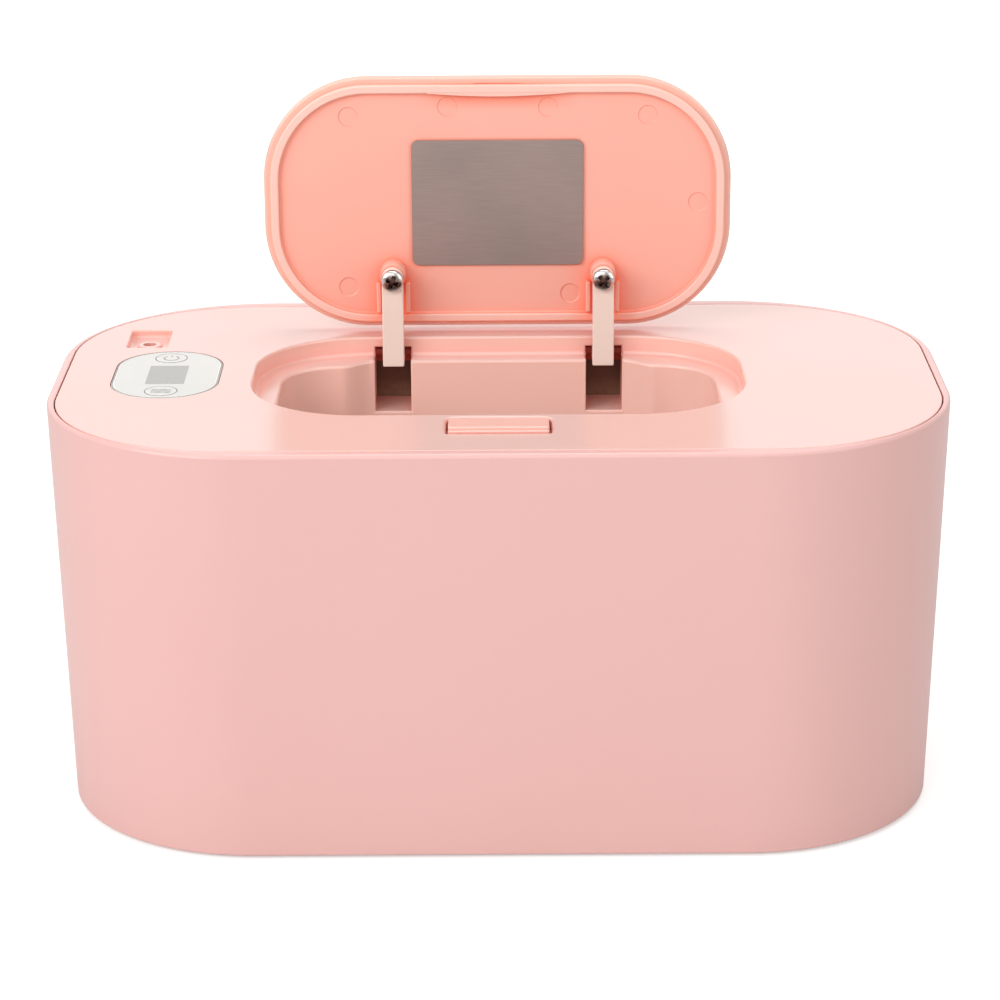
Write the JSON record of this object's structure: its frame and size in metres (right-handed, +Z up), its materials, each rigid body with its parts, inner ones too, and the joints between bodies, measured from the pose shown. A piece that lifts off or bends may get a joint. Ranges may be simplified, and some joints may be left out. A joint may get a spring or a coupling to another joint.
{
  "type": "baby wipe warmer",
  "caption": "Oval plastic tub with a lift-off heated cover, a hinged lid on two arms over the dispensing opening, a front release button and a touch panel with a display at the left end.",
  "frame": {"origin": "middle of the footprint, on the surface that the feet stand on", "axes": "+X to the right along the length, +Y to the back, +Z up; the release button faces the front, -Y"},
  "size_m": [0.225, 0.1364, 0.1734],
  "materials": {
    "shell_pink": "smooth moulded pink plastic, satin gloss",
    "cover_pink": "smooth moulded pale pink plastic, satin gloss",
    "lid_pink": "smooth moulded pink plastic, satin gloss",
    "liner_salmon": "moulded salmon plastic, fine satin",
    "tank_white": "moulded off-white plastic",
    "arm_nylon": "natural nylon, smooth",
    "panel_clear": "pale grey printed panel, polished",
    "display_grey": "grey display face, polished",
    "label_silver": "bare silver-grey foil plate, satin",
    "backing_brown": "dark brown plastic, dull",
    "jack_black": "black plastic, dull",
    "foot_rubber": "soft rubber, dull",
    "screw_steel": "bright plated steel",
    "heater_aluminium": "plain aluminium sheet",
    "film_copper": "amber polyimide film with copper tracks",
    "board_green": "green solder mask",
    "pad_foam": "dark conductive foam",
    "lead_red": "red wire insulation",
    "lead_white": "white wire insulation"
  },
  "bodies": {
    "base": {"outer_shell": "shell_pink", "base_plate": "shell_pink", "base_screw_1": "screw_steel", "base_screw_2": "screw_steel", "base_screw_3": "screw_steel", "base_screw_4": "screw_steel", "rubber_foot_1": "foot_rubber", "rubber_foot_2": "foot_rubber", "rubber_foot_3": "foot_rubber", "rubber_foot_4": "foot_rubber", "inner_tank": "tank_white"},
    "cover": {"top_cover": "cover_pink", "under_cover": "tank_white", "heater_plate": "heater_aluminium", "heating_film": "film_copper", "panel_lens": "panel_clear", "display_module": "display_grey", "control_board": "board_green", "board_screw_1": "screw_steel", "board_screw_2": "screw_steel", "touch_pad_front": "pad_foam", "touch_pad_rear": "pad_foam", "power_jack": "jack_black", "power_lead": "lead_red", "fuse_lead": "lead_red", "sensor_lead": "lead_white", "thermal_fuse": "screw_steel", "thermistor": "jack_black", "hinge_shaft": "screw_steel", "slot_backing_left": "backing_brown", "slot_backing_right": "backing_brown", "cover_screw_1": "screw_steel", "cover_screw_2": "screw_steel", "cover_screw_3": "screw_steel", "cover_screw_4": "screw_steel", "cover_screw_5": "screw_steel", "cover_screw_6": "screw_steel", "button_spring": "screw_steel"},
    "lid": {"lid_outer": "lid_pink", "lid_inner": "liner_salmon", "label_plate": "label_silver", "hinge_arm_left": "arm_nylon", "hinge_arm_right": "arm_nylon", "arm_screw_left": "screw_steel", "arm_screw_right": "screw_steel"},
    "button": {"release_button": "cover_pink"}
  },
  "joints": [
    {"name": "cover_lift", "type": "slide", "parent": "base", "child": "cover", "axis": [0, 0, 1], "range_m": [0, 0.05]},
    {"name": "lid_hinge", "type": "hinge", "parent": "cover", "child": "lid", "pos_m": [0, 0.0374, 0.10035], "axis": [1, 0, 0], "range_deg": [0, 90]},
    {"name": "button_press", "type": "slide", "parent": "cover", "child": "button", "axis": [0, 0, -1], "range_m": [0, 0.0012], "stiffness_N_per_m": 600, "springref_m": -0.002, "deforming": ["button_spring"]}
  ]
}
